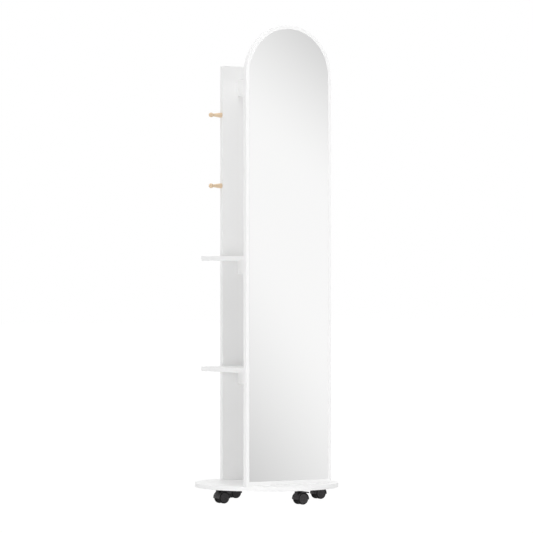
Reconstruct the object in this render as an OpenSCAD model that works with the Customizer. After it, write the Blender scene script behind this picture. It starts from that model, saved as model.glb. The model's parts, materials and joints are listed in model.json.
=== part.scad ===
// Revolving wardrobe cabinet: an arched mirror board and a narrow peg board joined by
// rails and shelves, on a round base with four swivel casters.
// Millimetres, +Z up. The origin is on the floor under the centre of the base disc.
// The mirror faces -Y. Heights of boards are given above the top of the base disc.

/* [Base] */
// Diameter of the base disc
base_d = 500; // [470:5:640]
// Thickness of the base disc
base_t = 15; // [15:1:25]

/* [Mirror panel] */
// Width of the arched board
mirror_w = 350; // [280:5:380]
// Height of the arched board above the base
mirror_h = 1584; // [1500:1:2000]
// Thickness of the arched board
mirror_t = 18; // [16:1:25]
// Distance of the mirror's front face in front of the base's centre
mirror_front = 143; // [110:1:160]
// White margin beside and over the glass
glass_margin = 13; // [8:1:30]
// White margin under the glass
glass_bottom_margin = 14; // [8:1:40]
// Thickness of the glass
glass_t = 3; // [2:0.5:5]
// Thickness of the tape behind the glass
tape_t = 1; // [0.5:0.5:2]
// Gap between the glass and the rebate's wall
glass_gap = 0.15; // [0.1:0.05:1]

/* [Back panel] */
// Width of the peg board
back_w = 144; // [130:1:200]
// Height of the peg board above the base
back_h = 1458; // [1425:1:1800]
// Thickness of the peg board
back_t = 16; // [15:1:22]
// Clear distance between the mirror panel and the peg board
bay_depth = 300; // [240:5:340]

/* [Shelves and rails] */
// Width of both shelves
shelf_w = 320; // [280:5:340]
// Thickness of both shelves
shelf_t = 16; // [15:1:22]
// Height from the base to the lower shelf's underside, and from there to the upper one's
shelf_pitch = 386; // [250:1:450]
// Thickness of all rails
rail_t = 16; // [15:1:22]
// Height of the rails under the shelves
shelf_rail_h = 48; // [44:1:80]
// Height of the top rail
top_rail_h = 56; // [48:1:90]
// Height of the top rail's upper edge above the base
top_rail_top = 1410; // [1000:1:1415]

/* [Coat pegs] */
// Length of a peg
peg_len = 51; // [40:1:80]
// Diameter of a peg at the board
peg_base_d = 16; // [13:0.5:16]
// Diameter of a peg's neck
peg_neck_d = 10.4; // [9:0.1:12.5]
// Diameter of a peg's ball
peg_ball_d = 17; // [14:0.5:20]
// Height of the upper pegs above the base
upper_peg_z = 1285; // [1000:1:1400]
// Height of the lower pegs above the base
lower_peg_z = 1036; // [850:1:1300]

/* [Fittings] */
// Diameter of a cam lock
cam_d = 15; // [12:1:15]
// Distance of a cam lock's centre from the end of its board
cam_inset = 24; // [20:1:34]
// Diameter of the wooden dowels
dowel_d = 8; // [6:1:8]
// Length of the wooden dowels
dowel_len = 30; // [24:1:40]
// Clearance around a fitting in its hole
fit_gap = 0.1; // [0.05:0.05:0.3]

/* [Casters] */
// Distance of the left and right kingpins from the base's centre
side_caster_x = 200.5; // [180:0.5:203]
// Distance of the front and back kingpins from the base's centre
end_caster_y = 190.5; // [180:0.5:203]
// Diameter of a wheel
wheel_d = 40; // [36:1:50]
// Width of a wheel
wheel_w = 12; // [10:0.5:18]
// Gap between the two wheels of a caster
wheel_gap = 16; // [14:0.5:20]
// Distance of the wheel axle behind the kingpin
trail = 16; // [12:0.5:16]
// Side of the square mounting plate
plate_w = 38; // [36:1:44]
// Thickness of the mounting plate
plate_t = 2.5; // [2:0.5:4]
// Running clearance of a wheel on its axle and of a housing on its kingpin
run_gap = 0.05; // [0.02:0.01:0.1]

/* [Hidden] */
$fn = 64;
cut = 1; // how far a cutting tool runs past a face

// Colours
WHITE = [0.95, 0.95, 0.94];
SILVER = [0.86, 0.88, 0.9];
BEECH = [0.87, 0.71, 0.5];
STEEL = [0.7, 0.71, 0.73];
BLACK = [0.16, 0.16, 0.17];
FOAM = [0.88, 0.88, 0.86];

// Casters: name, place of the kingpin and the way the wheels trail at rest, in degrees
CASTERS = [["left", [-side_caster_x, 0], 0], ["front", [0, -end_caster_y], 0],
           ["right", [side_caster_x, 0], 0], ["back", [0, end_caster_y], 180]];
// The two wheels of a caster: name and side of the housing
WHEELS = [["near", -1], ["far", 1]];

// Caster, from the floor up
wheel_r = wheel_d / 2;
hood_gap = 0.8; // between the wheels and the hood
hood_t = 1.4; // wall of the hood
hood_in_r = wheel_r + hood_gap;
hood_out_r = hood_in_r + hood_t;
hood_from = -8; // angles of the hood around the axle, from the way the wheels trail
hood_to = 186;
hood_w = wheel_gap + 2 * wheel_w; // as wide as the two wheels
roof_seat = 7.6; // half the length that the roof has in common with the hood
roof_top = wheel_r + hood_out_r + 4; // the roof's upper face, over the hood
roof_drop = 2.7; // its fall to the lip
roof_t = 4.9; // thickness of the lip
roof_end = trail + wheel_r + 2; // the lip's edge, from the kingpin
housing_top = roof_top + 1.3; // the face that turns against the washer, clear of the plate's screws
washer_gap = 0.1; // above and below the thrust washer
washer_t = 0.8;
plate_z = housing_top + washer_t + 2 * washer_gap; // underside of the plate
caster_h = plate_z + plate_t;
boss_r = 7;
boss_from = wheel_r + 8;
web_clear = 0.7; // between the housing's web and a wheel
web_w = wheel_gap - 2 * web_clear;
hub_r = 8; // the web around the axle
kingpin_r = 3;
kingpin_head_r = 4.6;
kingpin_head_h = 2.4;
kingpin_head_gap = 0.3; // around the head in the housing
kingpin_seat_z = wheel_r + 4; // the face in the housing that the head holds
axle_r = 2.5;
axle_end = 2; // how far the axle stops inside a wheel's outer face
axle_end_gap = 0.2; // between the axle's end and the bottom of its bore
wheel_round = 3.5; // rounding of the tread to both sides
wheel_rim = 2; // width of the flat rim on a wheel's outer face
wheel_dish = 1.4; // depth of the dish inside that rim
wheel_cap_sink = 0.2; // depth of the hub's cap under the rim
washer_r = 6.5;

// Plate screws
plate_hole_pitch = plate_w - 10;
plate_hole_r = 2;
plate_corner_r = 4;
caster_screw_r = 1.75;
caster_screw_len = 12; // inside the base
caster_screw_head_r = 3.5;
caster_screw_head_h = 2;

// Heights and depths of the boards
base_z = caster_h; // underside of the base
deck = base_z + base_t; // top of the base, where the boards stand
mirror_y = -mirror_front; // front face of the mirror panel
bay_y0 = mirror_y + mirror_t; // back face of the mirror panel
bay_y1 = bay_y0 + bay_depth; // front face of the back panel
arch_r = mirror_w / 2;
rebate = glass_t + tape_t;
lower_shelf_z = deck + shelf_pitch; // underside of each shelf
upper_shelf_z = lower_shelf_z + shelf_pitch;
top_rail_z = deck + top_rail_top - top_rail_h;

// Rails: underside and height
RAILS = [[lower_shelf_z - shelf_rail_h, shelf_rail_h],
         [upper_shelf_z - shelf_rail_h, shelf_rail_h],
         [top_rail_z, top_rail_h]];
SHELF_ZS = [lower_shelf_z, upper_shelf_z];

// Knock-down fittings
cam_r = cam_d / 2;
cam_h = 12;
cam_hole = cam_h + 0.5;
pin_r = 3; // threaded end and shank
pin_neck_r = 2.2;
pin_neck_l = 5;
pin_head_r = 3.5;
pin_head_l = 2.5;
pin_bore_r = 4; // bore in the board's end for the pin
pin_in = 10; // depth of the threaded end in a panel
pin_head_play = 0.6; // around the pin's head in the cam
dowel_r = dowel_d / 2;
dowel_in = 10; // depth of a dowel in a panel
hole_end = 0.5; // room at the bottom of a blind hole
rail_fit_dz = 12; // pin and dowel of a rail, under and over its middle
shelf_pin_front = shelf_w / 2 - 51; // distances from the middle, at the mirror panel
shelf_dowel_front = shelf_w / 2 - 23;
shelf_pin_back = back_w / 2 - 36; // and at the back panel
shelf_dowel_back = back_w / 2 - 13;
shelf_rail_dowel = bay_depth / 2 - 60; // upright dowels between a rail and its shelf

// Tape behind the glass
tape_w = 25;
tape_inset = 36; // from the rebate's side to the middle of the outer strips
tape_foot = 30; // from the rebate's lower edge to the strips

// Base screws and dowels: distance from the middle
mirror_foot_y = mirror_y + (mirror_t + rebate) / 2; // middle of the wood behind the rebate
back_foot_y = bay_y1 + back_t / 2;
base_screw_mirror = mirror_w / 2 - 65;
base_dowel_mirror = mirror_w / 2 - 25;
base_screw_back = back_w / 2 - 27;
base_dowel_back = back_w / 2 - 52;
base_screw_r = 3.2;
base_screw_head_r = 5;
base_screw_head_h = 4;
base_screw_key_r = 2.3; // hexagon socket
base_screw_key_depth = 2.5;
base_screw_up = 38; // in the panel
FEET = [[base_screw_mirror, base_dowel_mirror, mirror_foot_y],
        [base_screw_back, base_dowel_back, back_foot_y]];

// Peg screws
peg_screw_r = 3;
peg_screw_board = 30; // in the board
peg_screw_peg = 22; // in the peg
peg_flare_from = 0.1; // where the base starts to narrow, as a share of the way to the neck
PEG_ZS = [deck + upper_peg_z, deck + lower_peg_z];

// A straight cylinder from z = 0 upwards, turned to point along +Y
module rod_y(r, length) {
    rotate([-90, 0, 0]) cylinder(r = r, h = length);
}

// A straight cylinder turned to point along +X
module rod_x(r, length) {
    rotate([0, 90, 0]) cylinder(r = r, h = length);
}

// An upright arched slab: w wide, from z0 up to z1, from y to y + t
module arch_slab(w, z0, z1, y, t) {
    translate([0, y + t, 0]) rotate([90, 0, 0]) linear_extrude(t) {
        translate([-w / 2, z0]) square([w, z1 - w / 2 - z0]);
        translate([0, z1 - w / 2]) circle(r = w / 2, $fn = 180);
    }
}

// ---- Where the fittings are -----------------------------------------------

// Puts its children at each face between a panel and a rail or shelf, with +Y pointing
// into the rail or shelf: first at the mirror panel, then turned round at the back panel
module at_both_panels() {
    translate([0, bay_y0, 0]) children();
    translate([0, bay_y1, 0]) mirror([0, 1, 0]) children();
}

// Rail joints: children at the middle height of each rail, dz up
module at_rail_ends(rails, dz) {
    for (r = rails) translate([0, 0, r[0] + r[1] / 2 + dz]) at_both_panels() children();
}

// Shelf joints: children at x_front from the middle at the mirror panel, x_back at the other
module at_shelf_ends(zs, x_front, x_back) {
    for (z = zs, side = [-1, 1]) translate([0, 0, z + shelf_t / 2]) {
        translate([side * x_front, bay_y0, 0]) children();
        translate([side * x_back, bay_y1, 0]) mirror([0, 1, 0]) children();
    }
}

// Upright joints between each shelf and its rail: children at the shelf's underside
module at_shelf_rail_dowels(zs) {
    for (z = zs, side = [-1, 1])
        translate([0, bay_y0 + bay_depth / 2 + side * shelf_rail_dowel, z]) children();
}

// Feet of the panels: children at the base's top, k picks screws (0) or dowels (1)
module at_feet(k) {
    for (f = FEET, side = [-1, 1]) translate([side * f[k], f[2], deck]) children();
}

// ---- Holes ----------------------------------------------------------------

// Hole in a panel for a cam pin, seen from the rail or shelf
module pin_hole_in_panel() {
    translate([0, -pin_in - hole_end, 0]) rod_y(pin_r + fit_gap, pin_in + hole_end + cut);
}

// Hole in a panel for a dowel
module dowel_hole_in_panel() {
    translate([0, -dowel_in - hole_end, 0]) rod_y(dowel_r + fit_gap, dowel_in + hole_end + cut);
}

// Bore in a rail's or shelf's end for a cam pin, as far as the cam's hole
module pin_bore() {
    translate([0, -cut, 0]) rod_y(pin_bore_r, cam_inset + cut);
}

// Bore in a rail's or shelf's end for a dowel
module dowel_bore() {
    translate([0, -cut, 0]) rod_y(dowel_r + fit_gap, dowel_len - dowel_in + hole_end + cut);
}

// Cam hole in a rail, open on its +X face
module cam_hole_rail() {
    translate([rail_t / 2 - cam_hole, cam_inset, 0]) rod_x(cam_r + fit_gap, cam_hole + cut);
}

// Cam hole in a shelf, open on its underside
module cam_hole_shelf() {
    translate([0, cam_inset, -shelf_t / 2 - cut]) cylinder(r = cam_r + fit_gap, h = cam_hole + cut);
}

// ---- Boards ---------------------------------------------------------------

module base_disc() color(WHITE) difference() {
    translate([0, 0, base_z]) cylinder(d = base_d, h = base_t, $fn = 180);
    at_feet(0) {
        translate([0, 0, -base_t - cut]) cylinder(r = base_screw_r + fit_gap, h = base_t + 2 * cut);
        translate([0, 0, -base_t - cut])
            cylinder(r = base_screw_head_r + fit_gap, h = base_screw_head_h + cut + hole_end);
    }
    at_feet(1) translate([0, 0, -dowel_in - hole_end])
        cylinder(r = dowel_r + fit_gap, h = dowel_in + hole_end + cut);
    for (c = CASTERS) place_caster(c) at_plate_screws()
        translate([0, 0, base_z - cut])
            cylinder(r = caster_screw_r + fit_gap, h = caster_screw_len + hole_end + cut);
}

// Holes in a panel's foot for its base screws and dowels
module foot_holes() {
    at_feet(0) translate([0, 0, -cut])
        cylinder(r = base_screw_r + fit_gap, h = base_screw_up + hole_end + cut);
    at_feet(1) translate([0, 0, -cut])
        cylinder(r = dowel_r + fit_gap, h = dowel_len - dowel_in + hole_end + cut);
}

// Holes in both panels for the rails and shelves
module panel_holes() {
    at_rail_ends(RAILS, -rail_fit_dz) pin_hole_in_panel();
    at_rail_ends(RAILS, rail_fit_dz) dowel_hole_in_panel();
    at_shelf_ends(SHELF_ZS, shelf_pin_front, shelf_pin_back) pin_hole_in_panel();
    at_shelf_ends(SHELF_ZS, shelf_dowel_front, shelf_dowel_back) dowel_hole_in_panel();
}

module mirror_panel() color(WHITE) difference() {
    arch_slab(mirror_w, deck, deck + mirror_h, mirror_y, mirror_t);
    arch_slab(mirror_w - 2 * glass_margin, deck + glass_bottom_margin,
              deck + mirror_h - glass_margin, mirror_y - cut, rebate + cut);
    panel_holes();
    foot_holes();
}

// The glass lies flush with the margin around it
module mirror_glass() color(SILVER)
    arch_slab(mirror_w - 2 * (glass_margin + glass_gap), deck + glass_bottom_margin + glass_gap,
              deck + mirror_h - glass_margin - glass_gap, mirror_y, glass_t);

// Upright strips of foam tape on the floor of the rebate
module mirror_tape() color(FOAM) {
    strip_x = mirror_w / 2 - glass_margin - tape_inset;
    strip_from = deck + glass_bottom_margin + tape_foot;
    strip_to = deck + mirror_h - arch_r;
    for (x = [-strip_x, 0, strip_x])
        translate([x - tape_w / 2, mirror_y + glass_t, strip_from])
            cube([tape_w, tape_t, strip_to - strip_from]);
}

module back_panel() color(WHITE) difference() {
    translate([-back_w / 2, bay_y1, deck]) cube([back_w, back_t, back_h]);
    panel_holes();
    foot_holes();
    for (z = PEG_ZS, side = [-1, 1]) translate([side * back_w / 2, back_foot_y, z])
        rotate([0, side * 90, 0]) translate([0, 0, -peg_screw_board - hole_end])
            cylinder(r = peg_screw_r + fit_gap, h = peg_screw_board + hole_end + cut);
}

// A shelf with its underside at z
module shelf(z) color(WHITE) difference() {
    translate([-shelf_w / 2, bay_y0, z]) cube([shelf_w, bay_depth, shelf_t]);
    at_shelf_ends([z], shelf_pin_front, shelf_pin_back) {
        pin_bore();
        cam_hole_shelf();
    }
    at_shelf_ends([z], shelf_dowel_front, shelf_dowel_back) dowel_bore();
    at_shelf_rail_dowels([z]) translate([0, 0, -cut])
        cylinder(r = dowel_r + fit_gap, h = dowel_in + hole_end + cut);
}

// A rail of RAILS, with upright dowel holes in its top where it carries a shelf
module rail(r, carries_shelf) color(WHITE) difference() {
    translate([-rail_t / 2, bay_y0, r[0]]) cube([rail_t, bay_depth, r[1]]);
    at_rail_ends([r], -rail_fit_dz) {
        pin_bore();
        cam_hole_rail();
    }
    at_rail_ends([r], rail_fit_dz) dowel_bore();
    if (carries_shelf) at_shelf_rail_dowels([r[0] + r[1]])
        translate([0, 0, dowel_in - dowel_len - hole_end])
            cylinder(r = dowel_r + fit_gap, h = dowel_len - dowel_in + hole_end + cut);
}

// ---- Fittings -------------------------------------------------------------

// A cam pin: threaded end in the panel, neck and head inside the cam
module cam_pin() {
    tip = cam_inset + pin_head_l;
    translate([0, -pin_in, 0]) rod_y(pin_r, pin_in + cam_inset - pin_neck_l);
    rod_y(pin_neck_r, tip);
    translate([0, tip - pin_head_l, 0]) rod_y(pin_head_r, pin_head_l);
}

// A cam lock, its turning face at z = 0 and its body towards +Z; the pin comes from -Y
module cam_lock() {
    slot_w = 2 * pin_head_r + pin_head_play;
    slot_end = pin_head_l + pin_head_play;
    cross_l = 8;
    cross_w = 1.4;
    cross_depth = 1.6;
    difference() {
        cylinder(r = cam_r, h = cam_h);
        translate([-slot_w / 2, -cam_r - cut, shelf_t / 2 - slot_w / 2])
            cube([slot_w, cam_r + cut + slot_end, slot_w]);
        for (a = [0, 90]) rotate([0, 0, a])
            translate([-cross_l / 2, -cross_w / 2, -cut]) cube([cross_l, cross_w, cut + cross_depth]);
    }
}

module cam_pins() color(STEEL) {
    at_rail_ends(RAILS, -rail_fit_dz) cam_pin();
    at_shelf_ends(SHELF_ZS, shelf_pin_front, shelf_pin_back) cam_pin();
}

module cam_locks() color(STEEL) {
    at_rail_ends(RAILS, -rail_fit_dz)
        translate([rail_t / 2, cam_inset, 0]) rotate([0, -90, 0]) cam_lock();
    at_shelf_ends(SHELF_ZS, shelf_pin_front, shelf_pin_back)
        translate([0, cam_inset, -shelf_t / 2]) cam_lock();
}

module wood_dowels() color(BEECH) {
    at_rail_ends(RAILS, rail_fit_dz) translate([0, -dowel_in, 0]) rod_y(dowel_r, dowel_len);
    at_shelf_ends(SHELF_ZS, shelf_dowel_front, shelf_dowel_back)
        translate([0, -dowel_in, 0]) rod_y(dowel_r, dowel_len);
    at_shelf_rail_dowels(SHELF_ZS) translate([0, 0, dowel_in - dowel_len])
        cylinder(r = dowel_r, h = dowel_len);
    at_feet(1) translate([0, 0, -dowel_in]) cylinder(r = dowel_r, h = dowel_len);
}

module base_screws() color(STEEL) at_feet(0) {
    translate([0, 0, -base_t]) cylinder(r = base_screw_r, h = base_t + base_screw_up);
    translate([0, 0, -base_t]) difference() {
        cylinder(r = base_screw_head_r, h = base_screw_head_h);
        translate([0, 0, -cut]) cylinder(r = base_screw_key_r, h = cut + base_screw_key_depth, $fn = 6);
    }
}

// A turned peg along +Z from the board's edge: base, waisted neck, ball end
module peg() {
    ball_r = peg_ball_d / 2;
    neck_r = peg_neck_d / 2;
    base_r = peg_base_d / 2;
    ball_z = peg_len - ball_r;
    neck_z = ball_z - sqrt(ball_r * ball_r - neck_r * neck_r);
    flare_z = neck_z * peg_flare_from;
    flare = [for (i = [0:8]) let (t = i / 8)
        [base_r + (neck_r - base_r) * (3 * t * t - 2 * t * t * t), flare_z + (neck_z - flare_z) * t]];
    arc_from = asin(neck_r / ball_r);
    ball = [for (i = [0:16]) let (a = 180 - arc_from + (arc_from - 180) * i / 16)
        [ball_r * sin(a), ball_z + ball_r * cos(a)]];
    difference() {
        rotate_extrude() polygon(concat([[0, 0], [base_r, 0]], flare, ball, [[0, peg_len]]));
        translate([0, 0, -cut]) cylinder(r = peg_screw_r + fit_gap, h = peg_screw_peg + hole_end + cut);
    }
}

// A peg on one edge of the back panel: side -1 is left, 1 is right
module edge_peg(side, z) color(BEECH)
    translate([side * back_w / 2, back_foot_y, z]) rotate([0, side * 90, 0]) peg();

module peg_screws() color(STEEL)
    for (z = PEG_ZS, side = [-1, 1]) translate([side * back_w / 2, back_foot_y, z])
        rotate([0, side * 90, 0]) translate([0, 0, -peg_screw_board])
            cylinder(r = peg_screw_r, h = peg_screw_board + peg_screw_peg);

// ---- Casters --------------------------------------------------------------

// Puts a caster's children at its kingpin on the floor, +X the way its wheels trail
module place_caster(c) {
    translate(c[1]) rotate([0, 0, c[2]]) children();
}

module at_plate_screws() {
    for (x = [-1, 1], y = [-1, 1])
        translate([x, y, 0] * plate_hole_pitch / 2) children();
}

module caster_plate() color(BLACK) difference() {
    half = plate_w / 2 - plate_corner_r;
    translate([0, 0, plate_z]) linear_extrude(plate_t) {
        square([plate_w, 2 * half], center = true);
        square([2 * half, plate_w], center = true);
        for (x = [-half, half], y = [-half, half]) translate([x, y]) circle(r = plate_corner_r);
    }
    at_plate_screws() translate([0, 0, plate_z - cut]) cylinder(r = plate_hole_r, h = plate_t + 2 * cut);
    translate([0, 0, plate_z - cut]) cylinder(r = kingpin_r, h = plate_t + 2 * cut);
}

// Riveted into the plate above, with a head that holds the housing up against it
module caster_kingpin() color(STEEL) {
    seat = kingpin_seat_z - washer_gap;
    translate([0, 0, seat]) cylinder(r = kingpin_r, h = caster_h - seat);
    translate([0, 0, seat - kingpin_head_h]) cylinder(r = kingpin_head_r, h = kingpin_head_h);
}

// Points of a sector around the origin, with sides of the given length
function sector(side, from, to) =
    concat([[0, 0]], [for (i = [0:6]) let (a = from + (to - from) * i / 6) side * [cos(a), sin(a)]]);

// The part of a disc of radius r around the axle, w wide, that lies within the hood's angles
module hood_slice(r, w) {
    translate([trail, w / 2, wheel_r]) rotate([90, 0, 0]) linear_extrude(w) intersection() {
        circle(r = r, $fn = 120);
        polygon(sector(wheel_d, hood_from, hood_to));
    }
}

// The wedge on top of the hood, which ends in a lip over the wheels
module roof() {
    seat_z = wheel_r + hood_in_r - hood_gap / 2;
    lip_z = roof_top - roof_drop;
    translate([0, hood_w / 2, 0]) rotate([90, 0, 0]) linear_extrude(hood_w)
        polygon([[trail - roof_seat, seat_z], [trail + roof_seat, seat_z], [roof_end, lip_z - roof_t],
                 [roof_end, lip_z], [trail - roof_seat, roof_top]]);
}

module caster_housing() color(BLACK) difference() {
    union() {
        difference() {
            union() {
                hood_slice(hood_out_r, hood_w);
                roof();
                translate([0, 0, boss_from]) cylinder(r = boss_r, h = housing_top - boss_from);
            }
            translate([trail, -hood_w / 2 - cut, wheel_r]) rod_y(hood_in_r, hood_w + 2 * cut);
        }
        hood_slice(hood_in_r + hood_t / 2, web_w);
        translate([trail, -web_w / 2, wheel_r]) rod_y(hub_r, web_w);
    }
    translate([0, 0, kingpin_seat_z - cut]) cylinder(r = kingpin_r + run_gap, h = housing_top);
    translate([0, 0, -cut]) cylinder(r = kingpin_head_r + kingpin_head_gap, h = kingpin_seat_z + cut);
    translate([trail, -web_w / 2 - cut, wheel_r]) rod_y(axle_r, web_w + 2 * cut);
}

module caster_axle() color(STEEL) {
    half = hood_w / 2 - axle_end;
    translate([trail, -half, wheel_r]) rod_y(axle_r, 2 * half);
}

// A wheel with its inner face at z = 0 and its dished outer face at z = wheel_w
module wheel() {
    bore_depth = wheel_w - axle_end + axle_end_gap;
    flat_r = wheel_r - wheel_round;
    rim_r = flat_r - wheel_rim;
    cap_z = wheel_w - wheel_cap_sink;
    quarter = [for (i = [0:6]) 15 * i];
    inner_round = [for (a = quarter) [flat_r + wheel_round * sin(a), wheel_round * (1 - cos(a))]];
    outer_round = [for (a = quarter) [flat_r + wheel_round * cos(a), wheel_w - wheel_round * (1 - sin(a))]];
    difference() {
        rotate_extrude() polygon(concat(
            [[0, 0]], inner_round, outer_round,
            [[rim_r, wheel_w], [rim_r - wheel_dish, wheel_w - wheel_dish],
             [hub_r, wheel_w - wheel_dish], [hub_r - wheel_dish, cap_z], [0, cap_z]]));
        translate([0, 0, -cut]) cylinder(r = axle_r + run_gap, h = bore_depth + cut);
    }
}

// The wheel on one side of a caster: side -1 or 1 along the axle
module caster_wheel(side) color(BLACK)
    translate([trail, side * wheel_gap / 2, wheel_r]) rotate([-side * 90, 0, 0]) wheel();

module caster_screws() color(STEEL) for (c = CASTERS) place_caster(c) at_plate_screws() {
    translate([0, 0, plate_z]) cylinder(r = caster_screw_r, h = plate_t + caster_screw_len);
    translate([0, 0, plate_z - caster_screw_head_h]) cylinder(r = caster_screw_head_r, h = caster_screw_head_h);
}

module thrust_washers() color(STEEL) for (c = CASTERS) place_caster(c)
    translate([0, 0, housing_top + washer_gap]) difference() {
        cylinder(r = washer_r, h = washer_t);
        translate([0, 0, -cut]) cylinder(r = kingpin_r + fit_gap, h = washer_t + 2 * cut);
    }

// ---- Assembly -------------------------------------------------------------

base_disc();
mirror_panel();
mirror_glass();
mirror_tape();
back_panel();
shelf(lower_shelf_z);  // lower_shelf
shelf(upper_shelf_z);  // upper_shelf
rail(RAILS[0], true);  // lower_shelf_rail
rail(RAILS[1], true);  // upper_shelf_rail
rail(RAILS[2], false);  // top_rail
edge_peg(-1, PEG_ZS[0]);  // left_upper_peg
edge_peg(-1, PEG_ZS[1]);  // left_lower_peg
edge_peg(1, PEG_ZS[0]);  // right_upper_peg
edge_peg(1, PEG_ZS[1]);  // right_lower_peg
peg_screws();
cam_pins();
cam_locks();
wood_dowels();
base_screws();
caster_screws();
thrust_washers();
for (c = CASTERS) {
    place_caster(c) caster_plate();
    place_caster(c) caster_kingpin();
    place_caster(c) caster_housing();
    place_caster(c) caster_axle();
    for (w = WHEELS)
        place_caster(c) caster_wheel(w[1]);
}
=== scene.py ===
"""Looks of the revolving mirror cabinet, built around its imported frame.

Boards get eased edges and the pockets of their fittings, the mirror is a ground slab of silvered
glass, the pegs are turned from beech, and the casters have lathe-turned wheels under moulded hoods.
Lengths are in metres, in the cabinet's own frame: Z is up and the mirror faces -Y.
"""

import json
import logging
import math
from collections.abc import Sequence
from dataclasses import dataclass
from enum import Enum

import bmesh
import bpy
import numpy as np
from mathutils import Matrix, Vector
from mathutils.geometry import delaunay_2d_cdt

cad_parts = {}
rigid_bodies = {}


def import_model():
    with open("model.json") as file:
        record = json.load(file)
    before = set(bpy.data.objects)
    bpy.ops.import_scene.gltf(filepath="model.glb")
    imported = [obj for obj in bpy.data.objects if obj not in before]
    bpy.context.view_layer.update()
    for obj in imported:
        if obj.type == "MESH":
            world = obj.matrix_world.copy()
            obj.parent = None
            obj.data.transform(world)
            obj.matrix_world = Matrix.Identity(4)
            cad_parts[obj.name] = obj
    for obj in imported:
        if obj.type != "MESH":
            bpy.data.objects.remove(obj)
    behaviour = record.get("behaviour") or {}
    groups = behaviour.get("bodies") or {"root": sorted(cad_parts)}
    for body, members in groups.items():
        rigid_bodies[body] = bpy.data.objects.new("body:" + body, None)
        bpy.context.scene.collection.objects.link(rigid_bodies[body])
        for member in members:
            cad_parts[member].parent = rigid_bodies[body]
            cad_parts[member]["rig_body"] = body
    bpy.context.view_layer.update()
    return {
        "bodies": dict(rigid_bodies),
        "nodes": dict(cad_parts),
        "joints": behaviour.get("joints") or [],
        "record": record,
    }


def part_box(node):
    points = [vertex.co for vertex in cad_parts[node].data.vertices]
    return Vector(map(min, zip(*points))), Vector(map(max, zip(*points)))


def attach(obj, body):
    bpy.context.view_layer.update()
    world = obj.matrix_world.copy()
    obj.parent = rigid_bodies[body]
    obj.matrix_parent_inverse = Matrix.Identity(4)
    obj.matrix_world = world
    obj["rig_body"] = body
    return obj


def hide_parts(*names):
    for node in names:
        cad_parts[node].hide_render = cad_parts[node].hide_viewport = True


LOG = logging.getLogger("cabinet")
MM = 0.001
QUARTER_STEPS = 4
BAND = "edge_band"
SAME_POINT = 1e-9
WELD_DECIMALS = 6
INSIDE_THE_LOOPS = 1
# A Mix node's sockets for colours: share, first and second colour, and the result.
MIX_INPUTS = (0, 6, 7)
MIX_RESULT = 2


class Corner(Enum):
    """The four casters, by where they stand under the base."""

    LEFT = "left"
    FRONT = "front"
    RIGHT = "right"
    BACK = "back"


class Facing(Enum):
    """The way a piece's fitted or outer face looks, as the piece's own u, v and w axes."""

    LEFT = ((0, 0, 1), (0, 1, 0), (-1, 0, 0))
    RIGHT = ((0, 1, 0), (0, 0, 1), (1, 0, 0))
    FRONT = ((1, 0, 0), (0, 0, 1), (0, -1, 0))
    REAR = ((0, 0, 1), (1, 0, 0), (0, 1, 0))
    DOWN = ((0, 1, 0), (1, 0, 0), (0, 0, -1))
    UP = ((1, 0, 0), (0, 1, 0), (0, 0, 1))


# ---- Outlines and shells ------------------------------------------------------------------


@dataclass(frozen=True)
class Outline:
    """A closed flat curve, counter-clockwise, with the outward normal at each of its points."""

    points: np.ndarray
    normals: np.ndarray

    def rings(self, stations: np.ndarray) -> np.ndarray:
        """Parallel curves: each point moves inwards along its normal by the station's inset.

        Args:
            stations: (m, 2) array of inset and height.

        Returns:
            (m, n, 3) array of points, one ring of n points for each station.
        """
        inset, height = stations[:, 0], stations[:, 1]
        flat = self.points[None] - inset[:, None, None] * self.normals[None]
        level = np.broadcast_to(height[:, None, None], (*flat.shape[:2], 1))
        return np.concatenate((flat, level), axis=2)


@dataclass(frozen=True)
class Arc:
    """Part of a circle, in degrees, counter-clockwise."""

    centre: tuple[float, float]
    radius: float
    start: float
    stop: float
    steps: int


def outline_of(arcs: Sequence[Arc], margin: float) -> Outline:
    """Joins arcs by straight lines, with one more point on the line next to each arc's end.

    Args:
        arcs: The arcs in their order round the outline.
        margin: How far the added points lie from the arcs' ends, which keeps the long sides flat.

    Returns:
        The closed outline.
    """
    points, normals = [], []
    for arc in arcs:
        angle = np.radians(np.linspace(arc.start, arc.stop, arc.steps + 1))
        normal = np.column_stack((np.cos(angle), np.sin(angle)))
        tangent = np.column_stack((-normal[:, 1], normal[:, 0]))
        point = np.asarray(arc.centre) + arc.radius * normal
        points += [point[:1] - margin * tangent[:1], point, point[-1:] + margin * tangent[-1:]]
        normals += [normal[:1], normal, normal[-1:]]
    return Outline(np.vstack(points), np.vstack(normals))


def circle(radius: float, steps: int, centre: Sequence[float] = (0.0, 0.0)) -> Outline:
    """A circle of equal steps; a radius of zero gives the axis of a turned piece.

    Args:
        radius: The circle's radius.
        steps: Number of its points.
        centre: Its centre.

    Returns:
        The outline.
    """
    angle = np.linspace(0.0, 2.0 * math.pi, steps, endpoint=False)
    normal = np.column_stack((np.cos(angle), np.sin(angle)))
    return Outline(np.asarray(centre)[:2] + radius * normal, normal)


def rectangle(width: float, height: float, corner: float, margin: float) -> Outline:
    """A rectangle round the origin with rounded corners.

    Args:
        width: Size along the first axis.
        height: Size along the second axis.
        corner: Radius of the corners.
        margin: Flat margin beside each corner.

    Returns:
        The outline.
    """
    right, top = width / 2 - corner, height / 2 - corner
    corners = ((right, -top, 270), (right, top, 0), (-right, top, 90), (-right, -top, 180))
    arcs = [Arc((x, y), corner, turn, turn + 90, QUARTER_STEPS) for x, y, turn in corners]
    return outline_of(arcs, margin)


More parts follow.
